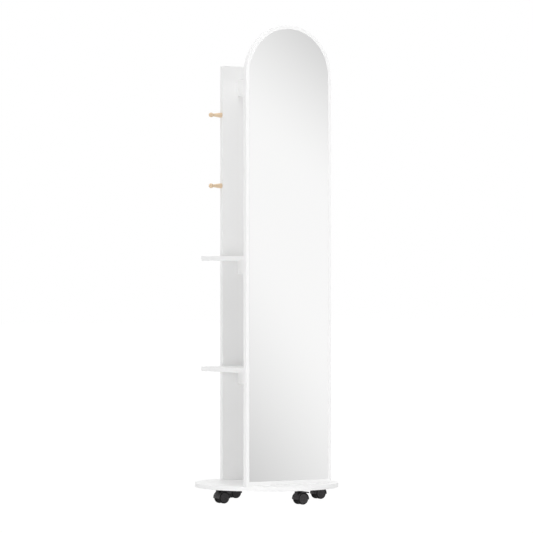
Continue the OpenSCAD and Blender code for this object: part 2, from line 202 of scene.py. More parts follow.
def arch(width: float, height: float, corner: float, margin: float, steps: int) -> Outline:
    """A rectangle round the origin whose top is a half circle over its full width.

    Args:
        width: Size along the first axis.
        height: Full height.
        corner: Radius of the two lower corners.
        margin: Flat margin beside each arc.
        steps: Steps of the half circle.

    Returns:
        The outline.
    """
    right, bottom = width / 2 - corner, corner - height / 2
    return outline_of(
        [
            Arc((right, bottom), corner, 270, 360, QUARTER_STEPS),
            Arc((0.0, height / 2 - width / 2), width / 2, 0, 180, steps),
            Arc((-right, bottom), corner, 180, 270, QUARTER_STEPS),
        ],
        margin,
    )


def quarter_round(radius: float) -> np.ndarray:
    """(inset, height) along a convex quarter round, from a level face down to an upright wall."""
    angle = np.linspace(0.0, math.pi / 2, QUARTER_STEPS + 1)
    return radius * np.column_stack((1 - np.sin(angle), 1 - np.cos(angle)))


@dataclass(frozen=True)
class Axes:
    """A piece's own directions and the point that its local coordinates start from."""

    origin: np.ndarray
    turn: np.ndarray

    def place(self, points: np.ndarray) -> np.ndarray:
        """Local points as points of the cabinet's frame."""
        return self.origin + points @ self.turn

    def local(self, points: np.ndarray) -> np.ndarray:
        """Points of the cabinet's frame as local points."""
        return (points - self.origin) @ self.turn.T


class Shell:
    """Rings of points and the faces between them, which become one closed mesh."""

    def __init__(self) -> None:
        """Starts with no points."""
        self.points: list[np.ndarray] = []
        self.bands: list[np.ndarray] = []
        self.faces: list[list[int]] = []
        self.count = 0

    def add(self, points: np.ndarray, band: float = 0.0) -> np.ndarray:
        """Adds points.

        Args:
            points: (n, 3) array.
            band: 1 on a board's edge and 0 on its faces.

        Returns:
            The points' numbers.
        """
        numbers = np.arange(self.count, self.count + len(points))
        self.points.append(points)
        self.bands.append(np.full(len(points), band))
        self.count += len(points)
        return numbers

    def sweep(self, outline: Outline, stations: np.ndarray, edge: slice = slice(0)) -> np.ndarray:
        """Carries a profile round an outline: a grid of four-sided faces, closed round the outline.

        Args:
            outline: The path.
            stations: (m, 2) profile of inset and height, with the outer side on the right of its way.
            edge: The stations that lie on a board's edge band.

        Returns:
            (m, n) array of point numbers.
        """
        rings = outline.rings(stations)
        on_edge = np.zeros(len(stations))
        on_edge[edge] = 1.0
        rows = [self.add(ring, band) for ring, band in zip(rings, on_edge, strict=True)]
        grid = np.stack(rows)
        ahead = np.roll(grid, -1, axis=1)
        quads = np.stack((grid[:-1], ahead[:-1], ahead[1:], grid[1:]), axis=-1)
        self.faces += quads.reshape(-1, 4).tolist()
        return grid

    def close(self, ring: np.ndarray, upwards: bool) -> None:
        """Closes a ring by a fan of triangles from its middle.

        Args:
            ring: The ring's point numbers, counter-clockwise from above.
            upwards: Whether the fan looks up.
        """
        everything = np.concatenate(self.points)
        middle = self.add(everything[ring].mean(axis=0)[None])
        fan = np.stack((ring, np.roll(ring, -1), np.full(len(ring), middle[0])), axis=-1)
        self.faces += (fan if upwards else fan[:, ::-1]).tolist()

    def close_round_holes(self, ring: np.ndarray, holes: Sequence[np.ndarray]) -> None:
        """Closes a ring upwards by triangles that leave round openings.

        Args:
            ring: The outer ring's point numbers.
            holes: The rings of the openings, each a convex outline.
        """
        loops = [ring, *holes]
        numbers = np.concatenate(loops)
        flat = np.concatenate(self.points)[numbers, :2]
        owner = np.repeat(np.arange(len(loops)), [len(loop) for loop in loops])
        starts = np.cumsum([0] + [len(loop) for loop in loops])
        edges = []
        for start, stop in zip(starts[:-1], starts[1:], strict=True):
            here = np.arange(start, stop)
            edges += np.column_stack((here, np.roll(here, -1))).tolist()
        made = delaunay_2d_cdt([Vector(p) for p in flat], edges, [], INSIDE_THE_LOOPS, SAME_POINT, True)
        source = np.array([found[0] for found in made[3]])
        corners = source[np.array(made[2])]
        inside_hole = (np.ptp(owner[corners], axis=1) == 0) & (owner[corners[:, 0]] > 0)
        corners = corners[~inside_hole]
        one, two = flat[corners[:, 1]] - flat[corners[:, 0]], flat[corners[:, 2]] - flat[corners[:, 0]]
        turned = one[:, 0] * two[:, 1] - one[:, 1] * two[:, 0] < 0
        corners[turned] = corners[turned][:, ::-1]
        self.faces += numbers[corners].tolist()

    def make(self, name: str, axes: Axes) -> bpy.types.Object:
        """Makes the mesh object, smooth-shaded, with its place in its mesh.

        Args:
            name: The piece's name.
            axes: Where the local points go.

        Returns:
            The new object.
        """
        mesh = bpy.data.meshes.new(name)
        mesh.from_pydata(axes.place(np.concatenate(self.points)), [], self.faces)
        mesh.attributes.new(BAND, "FLOAT", "POINT").data.foreach_set("value", np.concatenate(self.bands))
        mesh.polygons.foreach_set("use_smooth", np.ones(len(mesh.polygons), bool))
        mesh.update()
        made = bpy.data.objects.new(name, mesh)
        bpy.context.scene.collection.objects.link(made)
        return made


# ---- Reading the frame --------------------------------------------------------------------


def corners_of(node: str) -> np.ndarray:
    """(2, 3) array of a CAD node's lowest and highest corner."""
    return np.array(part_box(node), float)


def solids_of(node: bpy.types.Object) -> np.ndarray:
    """Boxes of the separate solids in one CAD node.

    Points that faces join get the lowest number among them, again and again until none changes.

    Args:
        node: The CAD node's object.

    Returns:
        (k, 2, 3) array of lowest and highest corners.
    """
    mesh = node.data
    points = np.zeros(len(mesh.vertices) * 3, np.float32)
    mesh.vertices.foreach_get("co", points)
    points = points.reshape(-1, 3)
    _, same = np.unique(np.round(points, WELD_DECIMALS), axis=0, return_inverse=True)
    same = same.ravel()
    mesh.calc_loop_triangles()
    corners = np.zeros(len(mesh.loop_triangles) * 3, np.int32)
    mesh.loop_triangles.foreach_get("vertices", corners)
    triangles = same[corners.reshape(-1, 3)]
    label = np.arange(same.max() + 1)
    while True:
        lowest = label[triangles].min(axis=1)
        fresh = label.copy()
        np.minimum.at(fresh, triangles.ravel(), np.repeat(lowest, 3))
        fresh = fresh[fresh]
        if np.array_equal(fresh, label):
            break
        label = fresh
    groups = label[same]
    return np.array([(points[groups == g].min(0), points[groups == g].max(0)) for g in np.unique(groups)])


def axes_of(node: str, facing: Facing) -> tuple[Axes, np.ndarray]:
    """Local axes of a board: centred on its box across w, and starting at its plain face along w.

    Args:
        node: The CAD node.
        facing: The way its fitted face looks.

    Returns:
        The axes and the board's size along u, v and w.
    """
    box = corners_of(node)
    turn = np.array(facing.value, float)
    size = np.abs(turn @ (box[1] - box[0]))
    origin = box.mean(axis=0) - turn[2] * size[2] / 2
    return Axes(origin, turn), size


# ---- Finishes -----------------------------------------------------------------------------


class Shader:
    """A material's node tree, built up around its surface shader."""

    def __init__(self, name: str) -> None:
        """Starts a material whose patterns read the piece's own coordinates.

        Args:
            name: The material's name.
        """
        self.material = bpy.data.materials.new(name)
        self.material.use_nodes = True
        self.tree = self.material.node_tree
        self.surface = self.tree.nodes["Principled BSDF"]
        self.place = self.node("ShaderNodeTexCoord").outputs["Object"]

    def node(self, kind: str, inputs: dict | None = None, **settings: object) -> bpy.types.Node:
        """Adds a node.

        Args:
            kind: Blender's name of the node's type.
            inputs: Values or output sockets for its inputs, by name or number.
            settings: Its other properties.

        Returns:
            The node.
        """
        made = self.tree.nodes.new(kind)
        for key, value in settings.items():
            setattr(made, key, value)
        for key, value in (inputs or {}).items():
            self.feed(made.inputs[key], value)
        return made

    def feed(self, socket: bpy.types.NodeSocket, value: object) -> None:
        """Links an output socket to an input, or sets the input's value.

        Args:
            socket: The input.
            value: The output socket or the value.
        """
        if isinstance(value, bpy.types.NodeSocket):
            self.tree.links.new(value, socket)
        else:
            socket.default_value = value

    def stretched(self, scale: Sequence[float]) -> bpy.types.NodeSocket:
        """The piece's coordinates, scaled along each axis."""
        return self.node("ShaderNodeMapping", {"Vector": self.place, "Scale": scale}).outputs[0]

    def noise(self, size: float, detail: float = 2.0, place: object = None,
              **inputs: float) -> bpy.types.NodeSocket:
        """Noise whose blobs are about a given size.

        Args:
            size: Size of the blobs.
            detail: Octaves of finer noise.
            place: Coordinates, if not the piece's own.
            inputs: Other inputs of the noise node.

        Returns:
            The noise's value, from 0 to 1.
        """
        wanted = {"Vector": place or self.place, "Scale": 1.0 / size, "Detail": detail}
        return self.node("ShaderNodeTexNoise", wanted | inputs).outputs["Fac"]

    def spread(self, value: bpy.types.NodeSocket, low: float, high: float, middle: float = 0.5,
               reach: float = 0.25) -> bpy.types.NodeSocket:
        """Maps a noise's usual range onto low to high.

        Args:
            value: The noise.
            low: Result at the range's lower end.
            high: Result at its upper end.
            middle: Middle of the range.
            reach: Half the range's width.

        Returns:
            The mapped value.
        """
        return self.between(value, (middle - reach, middle + reach), (low, high))

    def between(self, value: bpy.types.NodeSocket, source: Sequence[float], target: Sequence[float],
                **settings: object) -> bpy.types.NodeSocket:
        """Maps one range of values onto another.

        Args:
            value: The value to map.
            source: The range's two ends.
            target: What the two ends become.
            settings: The node's other properties.

        Returns:
            The mapped value.
        """
        inputs = {"Value": value, "From Min": source[0], "From Max": source[1],
                  "To Min": target[0], "To Max": target[1]}
        return self.node("ShaderNodeMapRange", inputs, **settings).outputs[0]

    def step(self, value: bpy.types.NodeSocket, source: Sequence[float],
             target: Sequence[float]) -> bpy.types.NodeSocket:
        """Maps one range onto another with smooth ends."""
        return self.between(value, source, target, interpolation_type="SMOOTHSTEP")

    def math(self, operation: str, *values: object) -> bpy.types.NodeSocket:
        """The result of one calculation."""
        return self.node("ShaderNodeMath", dict(enumerate(values)), operation=operation).outputs[0]

    def blend(self, share: object, one: object, two: object) -> bpy.types.NodeSocket:
        """A colour between two others, at a share from 0 to 1."""
        inputs = dict(zip(MIX_INPUTS, (share, one, two), strict=True))
        return self.node("ShaderNodeMix", inputs, data_type="RGBA").outputs[MIX_RESULT]

    def mixed(self, share: object, one: bpy.types.Node, two: bpy.types.Node) -> bpy.types.Node:
        """One surface where the share is 0, another where it is 1."""
        return self.node("ShaderNodeMixShader", {0: share, 1: one.outputs[0], 2: two.outputs[0]})

    def show(self, surface: bpy.types.Node) -> None:
        """Gives the material another surface."""
        self.feed(self.tree.nodes["Material Output"].inputs["Surface"], surface.outputs[0])

    def bump(self, height: bpy.types.NodeSocket, depth: float, strength: float = 1.0) -> None:
        """Raises the surface by a height pattern that is depth metres deep."""
        inputs = {"Height": height, "Distance": depth, "Strength": strength}
        self.feed(self.surface.inputs["Normal"], self.node("ShaderNodeBump", inputs).outputs[0])

    def set(self, **values: object) -> None:
        """Sets or links the surface shader's inputs, with underscores for spaces."""
        for key, value in values.items():
            self.feed(self.surface.inputs[key.replace("_", " ")], value)


def colour(red: float, green: float, blue: float) -> tuple[float, float, float, float]:
    """An opaque colour."""
    return (red, green, blue, 1.0)


@dataclass(frozen=True)
class WhiteBoard:
    """Satin white melamine with a plastic edge band."""

    slot: str = "white_board"
    face: tuple[float, ...] = colour(0.93, 0.93, 0.928)
    face_low: tuple[float, ...] = colour(0.915, 0.915, 0.912)
    band: tuple[float, ...] = colour(0.915, 0.915, 0.913)
    cloud_size: float = 0.09
    sheen_size: float = 0.03
    sheen: tuple[float, float] = (0.36, 0.44)
    band_duller: float = 0.08
    pearl_size: float = 0.004
    pearl_finer: float = 0.6
    pearl_depth: float = 0.03 * MM

    def material(self) -> bpy.types.Material:
        """Faint cloudiness, a pearl texture, and a slightly duller edge band.

        Returns:
            The finished material.
        """
        shader = Shader("satin_white_melamine")
        on_band = shader.node("ShaderNodeAttribute", attribute_name=BAND).outputs["Fac"]
        cloud = shader.spread(shader.noise(self.cloud_size, detail=3.0), 0.0, 1.0)
        pearl = shader.noise(self.pearl_size, detail=3.0, Roughness=self.pearl_finer)
        sheen = shader.spread(shader.noise(self.sheen_size), *self.sheen)
        faces = shader.blend(cloud, self.face_low, self.face)
        duller = shader.math("MULTIPLY_ADD", on_band, self.band_duller, sheen)
        shader.set(Base_Color=shader.blend(on_band, faces, self.band), Roughness=duller)
        shader.bump(pearl, self.pearl_depth, strength=0.5)
        return shader.material


@dataclass(frozen=True)
class SilveredGlass:
    """Mirror silver behind clear glass, with a ground edge."""

    slot: str = "mirror_silver"
    silver: tuple[float, ...] = colour(0.96, 0.96, 0.958)
    ground_edge: tuple[float, ...] = colour(0.80, 0.83, 0.82)
    wipe_size: float = 0.25
    wipe_stretch: tuple[float, float, float] = (1.0, 1.0, 0.25)
    gloss: tuple[float, float] = (0.008, 0.02)
    edge_duller: float = 0.4

    def material(self) -> bpy.types.Material:
        """A sharp reflection with a trace of wipe marks, and a matt ground edge.

        Returns:
            The finished material.
        """
        shader = Shader("silvered_glass")
        on_edge = shader.node("ShaderNodeAttribute", attribute_name=BAND).outputs["Fac"]
        wiped = shader.noise(self.wipe_size, place=shader.stretched(self.wipe_stretch))
        matt = shader.math("MULTIPLY_ADD", on_edge, self.edge_duller, shader.spread(wiped, *self.gloss))
        tint = shader.blend(on_edge, self.silver, self.ground_edge)
        shader.set(Base_Color=tint, Roughness=matt, Metallic=1.0)
        return shader.material


@dataclass(frozen=True)
class TurnedBeech:
    """Pale beech turned on a lathe, with its grain along the piece."""

    slot: str = "turned_beech"
    early: tuple[float, ...] = colour(0.80, 0.63, 0.445)
    late: tuple[float, ...] = colour(0.70, 0.51, 0.335)
    fleck: tuple[float, ...] = colour(0.52, 0.35, 0.21)
    layer_stretch: tuple[float, float, float] = (0.12, 1.0, 1.0)
    layers_per_metre: float = 110.0
    layer_share: float = 0.55
    bend_size: float = 0.02
    bend_share: float = 0.35
    pore_stretch: tuple[float, float, float] = (0.06, 1.0, 1.0)
    pore_size: float = 0.0007
    pore_share: float = 0.6
    pore_depth: float = 0.05 * MM
    sheen: tuple[float, float] = (0.42, 0.5)

    def material(self) -> bpy.types.Material:
        """Growth layers, fine pores and short ray flecks, all drawn out along X.

        Returns:
            The finished material.
        """
        shader = Shader(f"{self.slot}_grain")
        along = shader.stretched(self.layer_stretch)
        bent = shader.noise(self.bend_size, place=along)
        wave = {"Vector": along, "Scale": self.layers_per_metre, "Distortion": 3.0, "Detail": 2.0,
                "Detail Scale": 1.5}
        layers = shader.node("ShaderNodeTexWave", wave, bands_direction="Z").outputs["Fac"]
        pores = shader.noise(self.pore_size, place=shader.stretched(self.pore_stretch))
        layered = shader.spread(layers, 0.0, self.layer_share, reach=0.5)
        wood = shader.blend(layered, self.early, self.late)
        warmer = shader.blend(shader.spread(bent, 0.0, self.bend_share), wood, self.late)
        marks = shader.spread(pores, 0.0, self.pore_share, middle=0.68, reach=0.06)
        shader.set(
            Base_Color=shader.blend(marks, warmer, self.fleck), Roughness=shader.spread(layers, *self.sheen),
        )
        shader.bump(pores, self.pore_depth, strength=0.4)
        return shader.material


@dataclass(frozen=True)
class Metal:
    """Plated or powder-coated steel."""

    slot: str
    name: str
    base: tuple[float, ...]
    dull: tuple[float, ...]
    metallic: float
    smooth: float
    rough: float
    grain: float
    blotch_size: float = 0.006
    sheen_size: float = 0.003
    grain_depth: float = 0.02 * MM

    def material(self) -> bpy.types.Material:
        """Blotches of duller plating or powder coat, and a fine grain.

        Returns:
            The finished material.
        """
        shader = Shader(self.name)
        blotch = shader.spread(shader.noise(self.blotch_size, detail=4.0), 0.0, 1.0)
        shader.set(
            Base_Color=shader.blend(blotch, self.base, self.dull),
            Roughness=shader.spread(shader.noise(self.sheen_size, detail=3.0), self.smooth, self.rough),
            Metallic=self.metallic,
        )
        shader.bump(shader.noise(self.grain), self.grain_depth, strength=0.5)
        return shader.material


@dataclass(frozen=True)
class BlackNylon:
    """Black nylon, moulded with a fine matt grain, and a wheel's near-black tread, which is partly painted
    shade.
    """

    slot: str = "black_nylon"
    base: tuple[float, ...] = colour(0.052, 0.0495, 0.0515)
    scuffed: tuple[float, ...] = colour(0.068, 0.065, 0.0675)
    # Near-black tread: partly the tread's own darker colour, partly painted shade where the wheels meet the
    # floor.
    tread: tuple[float, ...] = colour(0.004, 0.004, 0.004)
    specular: float = 0.22
    scuff_size: float = 0.007
    scuff_finer: float = 0.65
    sheen_size: float = 0.004
    sheen: tuple[float, float] = (0.42, 0.54)
    grain_size: float = 0.0006
    grain_depth: float = 0.04 * MM

    def material(self) -> bpy.types.Material:
        """A grained matt skin with faint paler scuffs; the tread has none and is near-black, partly as
        painted shade.

        Returns:
            The finished material.
        """
        shader = Shader("grained_black_nylon")
        tread_with_painted_shade = shader.node("ShaderNodeAttribute", attribute_name=BAND).outputs["Fac"]
        rubbed = shader.noise(self.scuff_size, detail=4.0, Roughness=self.scuff_finer)
        scuff = shader.spread(rubbed, 0.0, 1.0, middle=0.58, reach=0.1)
        skin = shader.blend(scuff, self.base, self.scuffed)
        shader.set(
            # The tread's near-black colour is partly painted shade for the wheels' undersides.
            Base_Color=shader.blend(tread_with_painted_shade, skin, self.tread), Specular_IOR_Level=self.specular,
            Roughness=shader.spread(shader.noise(self.sheen_size), *self.sheen),
        )
        shader.bump(shader.noise(self.grain_size), self.grain_depth, strength=0.5)
        return shader.material


@dataclass(frozen=True)
class FoamTape:
    """White closed-cell foam."""

    slot: str = "foam_tape"
    base: tuple[float, ...] = colour(0.80, 0.80, 0.78)
    cell: tuple[float, ...] = colour(0.66, 0.66, 0.64)
    cells_per_metre: float = 2200.0
    cell_depth: float = 0.1 * MM
    roughness: float = 0.85

    def material(self) -> bpy.types.Material:
        """Small closed cells.

        Returns:
            The finished material.
        """
        shader = Shader("closed_cell_foam")
        inputs = {"Vector": shader.place, "Scale": self.cells_per_metre}
        cells = shader.node("ShaderNodeTexVoronoi", inputs).outputs["Distance"]
        walls = shader.spread(cells, 1.0, 0.0, middle=0.3, reach=0.3)
        shader.set(Base_Color=shader.blend(walls, self.base, self.cell), Roughness=self.roughness)
        shader.bump(cells, self.cell_depth, strength=0.6)
        return shader.material


ZINC = Metal(
    "zinc_steel", "zinc_plate", colour(0.70, 0.71, 0.71), colour(0.56, 0.57, 0.57),
    metallic=1.0, smooth=0.26, rough=0.42, grain=0.0008,
)
POWDER = Metal(
    "black_steel", "black_powder_coat", colour(0.018, 0.018, 0.018), colour(0.026, 0.026, 0.026),
    metallic=0.0, smooth=0.45, rough=0.55, grain=0.0009,
)


class Workshop:
    """Hands out finishes and fixes finished pieces to the frame."""

    def __init__(self, frame: dict) -> None:
        """Makes each finish once.
        """
        self.nodes: dict[str, bpy.types.Object] = frame["nodes"]
        finishes = (WhiteBoard(), SilveredGlass(), TurnedBeech(), TurnedBeech("dowel_beech"), ZINC, POWDER,
                    BlackNylon(), FoamTape())
        self.materials = {finish.slot: finish.material() for finish in finishes}
        self.slots = {part["node"]: part["material_slot"] for part in frame["record"]["subparts"]}

    def paint(self, piece: bpy.types.Object, slot: str) -> None:
        """Gives a piece one material."""
        piece.data.materials.clear()
        piece.data.materials.append(self.materials[slot])

    def keep(self, node: str) -> None:
        """Dresses a CAD node whose shape stays as it is."""
        self.paint(self.nodes[node], self.slots[node])
        LOG.info("%s: kept, %s", node, self.slots[node])

    def stand_for(self, piece: bpy.types.Object, node: str) -> None:
        """Dresses a new piece and lets it stand for a CAD node, on that node's body.

        Args:
            piece: The new piece.
            node: The CAD node that it replaces.
        """
        self.paint(piece, self.slots[node])
        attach(piece, self.nodes[node]["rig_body"])
        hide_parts(node)
        LOG.info("%s: new, %d faces, %s", piece.name, len(piece.data.polygons), self.slots[node])


# ---- Sub-assemblies -----------------------------------------------------------------------


@dataclass(frozen=True)
class Boards:
    """The base, both panels, the shelves and the rails."""

    ease: float = 0.5 * MM
    margin: float = 0.4 * MM
    corner: float = 1.0 * MM
    base_ease: float = 0.6 * MM
    screw_pocket: float = 4.5 * MM
    base_steps: int = 256
    arch_steps: int = 96
    pocket_ease: float = 0.15 * MM
    pocket_gap: float = 0.1 * MM
    pocket_steps: int = 40
    end_room: float = 0.5 * MM
    glass_margin: float = 13.0 * MM
    glass_bottom_margin: float = 14.0 * MM
    rebate: float = 4.0 * MM
    rebate_corner: float = 1.0 * MM

    def stations(self, thickness: float, ease: float) -> np.ndarray:
        """Profile of an eased edge, from the plain face round the wall to the fitted face.

        Args:
            thickness: The board's thickness.
            ease: Radius of its eased edges.

        Returns:
            (m, 2) array of inset and height.
        """
        lower = quarter_round(ease)
        upper = np.column_stack((lower[::-1, 0], thickness - lower[::-1, 1]))
        rim = ease + self.margin
        wall = [(0.0, rim), (0.0, thickness - rim)]
        return np.vstack(([(rim, 0.0)], lower, wall, upper, [(rim, thickness)]))

    def pocket(self, shell: Shell, outline: Outline, top: float, depth: float) -> np.ndarray:
        """Sinks a pocket with an eased lip into a board's fitted face.

        Args:
            shell: The board.
            outline: The pocket's outline.
            top: Height of the fitted face.
            depth: Depth of the pocket.

        Returns:
            The outer ring of the lip.
        """
        round_ = quarter_round(self.pocket_ease)
        lip = np.column_stack((-round_[:, 0], top - round_[:, 1]))
        rim = self.pocket_ease + self.margin
        floor = [(0.0, top - depth), (self.margin, top - depth)]
        grid = shell.sweep(outline, np.vstack(([(-rim, top)], lip, floor)))
        shell.close(grid[-1], upwards=True)
        return grid[0]

    def board(self, name: str, axes: Axes, outline: Outline, thickness: float, ease: float,
              pockets: Sequence[tuple[Outline, float]] = ()) -> bpy.types.Object:
        """A board with eased edges and pockets in its fitted face.

        Args:
            name: The piece's name.
            axes: The board's own axes.
            outline: Its outline.
            thickness: Its thickness.
            ease: Radius of its eased edges.
            pockets: Outline and depth of each pocket.

        Returns:
            The board.
        """
        shell = Shell()
        grid = shell.sweep(outline, self.stations(thickness, ease), edge=slice(2, -2))
        shell.close(grid[0], upwards=False)
        if pockets:
            lips = [self.pocket(shell, shape, thickness, depth) for shape, depth in pockets]
            shell.close_round_holes(grid[-1], lips)
        else:
            shell.close(grid[-1], upwards=True)
        return shell.make(name, axes)

    def fitting_pockets(self, axes: Axes, size: np.ndarray,
                        fittings: np.ndarray) -> list[tuple[Outline, float]]:
        """Pockets for the fittings whose heads lie flush in a board's fitted face.

        Args:
            axes: The board's own axes.
            size: The board's size along them.
            fittings: (k, 2, 3) boxes of the fittings.

        Returns:
            Outline and depth of each pocket.
        """
        found = []
        for box in axes.local(fittings.reshape(-1, 3)).reshape(-1, 2, 3):
            low, high = box.min(axis=0), box.max(axis=0)
            middle, half = (low + high) / 2, (high - low) / 2
            flush = abs(high[2] - size[2]) < self.margin
            if flush and np.all(np.abs(middle[:2]) < size[:2] / 2):
                shape = circle(half[:2].max() + self.pocket_gap, self.pocket_steps, middle)
                found.append((shape, high[2] - max(low[2], self.end_room) + self.end_room))
        return found

    def plank(self, node: str, facing: Facing, fittings: np.ndarray | None = None) -> bpy.types.Object:
        """A rectangular board in place of a CAD node.

        Args:
            node: The CAD node.
            facing: The way its fitted face looks.
            fittings: Boxes of the fittings that may lie in that face.

        Returns:
            The board.
        """
        axes, size = axes_of(node, facing)
        outline = rectangle(size[0], size[1], self.corner, self.margin)
        pockets = [] if fittings is None else self.fitting_pockets(axes, size, fittings)
        return self.board(f"{node}_board", axes, outline, size[2], self.ease, pockets)

    def base(self, screws: np.ndarray) -> bpy.types.Object:
        """The round base, with a pocket for each screw's head in its underside.

        Args:
            screws: (k, 2, 3) boxes of the base's screws.

        Returns:
            The board.
        """
        axes, size = axes_of("base_disc", Facing.DOWN)
        outline = circle(size[:2].max() / 2, self.base_steps)
        pockets = [(shape, self.screw_pocket) for shape, _ in self.fitting_pockets(axes, size, screws)]
        return self.board("base_disc_board", axes, outline, size[2], self.base_ease, pockets)

    def mirror_panel(self) -> bpy.types.Object:
        """The arched board with the rebate that takes the glass.

        Returns:
            The board.
        """
        axes, size = axes_of("mirror_panel", Facing.FRONT)
        outer = arch(size[0], size[1], self.corner, self.margin, self.arch_steps)
        opening = (size[0] - 2 * self.glass_margin, size[1] - self.glass_margin - self.glass_bottom_margin)
        inner = arch(*opening, self.rebate_corner, self.margin, self.arch_steps)
        lift = np.array((0.0, (self.glass_bottom_margin - self.glass_margin) / 2))
        inner = Outline(inner.points + lift, inner.normals)
        return self.board("mirror_panel_board", axes, outer, size[2], self.ease, [(inner, self.rebate)])

    def build(self, shop: Workshop) -> None:
        """Makes every board.

        Args:
            shop: The finishes and the frame's nodes.
        """
        cams = solids_of(shop.nodes["cam_locks"])
        shop.stand_for(self.base(solids_of(shop.nodes["base_screws"])), "base_disc")
        shop.stand_for(self.mirror_panel(), "mirror_panel")
        shop.stand_for(self.plank("back_panel", Facing.FRONT), "back_panel")
        for shelf in ("lower_shelf", "upper_shelf"):
            shop.stand_for(self.plank(shelf, Facing.DOWN, cams), shelf)
        for rail in ("lower_shelf_rail", "upper_shelf_rail", "top_rail"):
            shop.stand_for(self.plank(rail, Facing.RIGHT, cams), rail)


@dataclass(frozen=True)
class Glass:
    """The mirror's glass."""

    arris: float = 0.15 * MM
    corner: float = 1.0 * MM
    margin: float = 0.3 * MM
    arch_steps: int = 96

    def build(self, shop: Workshop) -> None:
        """A slab with ground arrises, in place of the CAD glass and held by the foam tape.

        Args:
            shop: The finishes and the frame's nodes.
        """
        axes, size = axes_of("mirror_glass", Facing.FRONT)
        outline = arch(size[0], size[1], self.corner, self.margin, self.arch_steps)
        bevel, top, rim = self.arris, size[2], self.arris + self.margin
        stations = np.array([
            (rim, 0.0), (bevel, 0.0), (0.0, bevel), (0.0, top - bevel), (bevel, top), (rim, top),
        ])
        shell = Shell()
        grid = shell.sweep(outline, stations, edge=slice(2, 4))
        shell.close(grid[0], upwards=False)
        shell.close(grid[-1], upwards=True)
        shop.stand_for(shell.make("mirror_glass_slab", axes), "mirror_glass")
        shop.keep("mirror_tape")


@dataclass(frozen=True)
class Pegs:
    """The coat pegs on the back panel's edges."""

    neck: float = 5.2 * MM
    ball: float = 8.5 * MM
    flare_from: float = 0.1
    ease: float = 0.5 * MM
    foot_margin: float = 0.3 * MM
    tip_angle: float = 0.02
    steps: int = 64
    ball_steps: int = 20
    flare_steps: int = 16
    names: tuple[str, ...] = ("left_upper_peg", "left_lower_peg", "right_upper_peg", "right_lower_peg")

    def profile(self, length: float, base: float) -> np.ndarray:
        """Radius and height from the board to the tip: a base, a smooth flare down to the neck, and a ball.

        Args:
            length: The peg's length.
            base: The base's radius.

        Returns:
            (m, 2) array.
        """
        ball_at = length - self.ball
        neck_at = ball_at - math.sqrt(self.ball**2 - self.neck**2)
        flare_at = neck_at * self.flare_from
        t = np.linspace(0.0, 1.0, self.flare_steps + 1)
        slope = base + (self.neck - base) * (3 * t**2 - 2 * t**3)
        flare = np.column_stack((slope, flare_at + (neck_at - flare_at) * t))
        polar = np.linspace(math.pi - math.asin(self.neck / self.ball), self.tip_angle, self.ball_steps)
        ball = np.column_stack((self.ball * np.sin(polar), ball_at + self.ball * np.cos(polar)))
        foot = quarter_round(self.ease)
        foot = np.column_stack((base - foot[:, 0], foot[:, 1]))
        return np.vstack(([(base - self.ease - self.foot_margin, 0.0)], foot, flare, ball[1:]))

    def build(self, shop: Workshop) -> None:
        """Turns the four pegs.

        Args:
            shop: The finishes and the frame's nodes.
        """
        for node in self.names:
            box = corners_of(node)
            side = np.sign(box[:, 0].sum())
            root = box.mean(axis=0)
            root[0] = side * np.abs(box[:, 0]).min()
            turn = np.array((Facing.RIGHT if side > 0 else Facing.LEFT).value, float)
            stations = self.profile(np.ptp(box[:, 0]), np.ptp(box[:, 2]) / 2) * (-1, 1)
            shell = Shell()
            grid = shell.sweep(circle(0.0, self.steps), stations)
            shell.close(grid[0], upwards=False)
            shell.close(grid[-1], upwards=True)
            shop.stand_for(shell.make(f"{node}_turned", Axes(root, turn)), node)


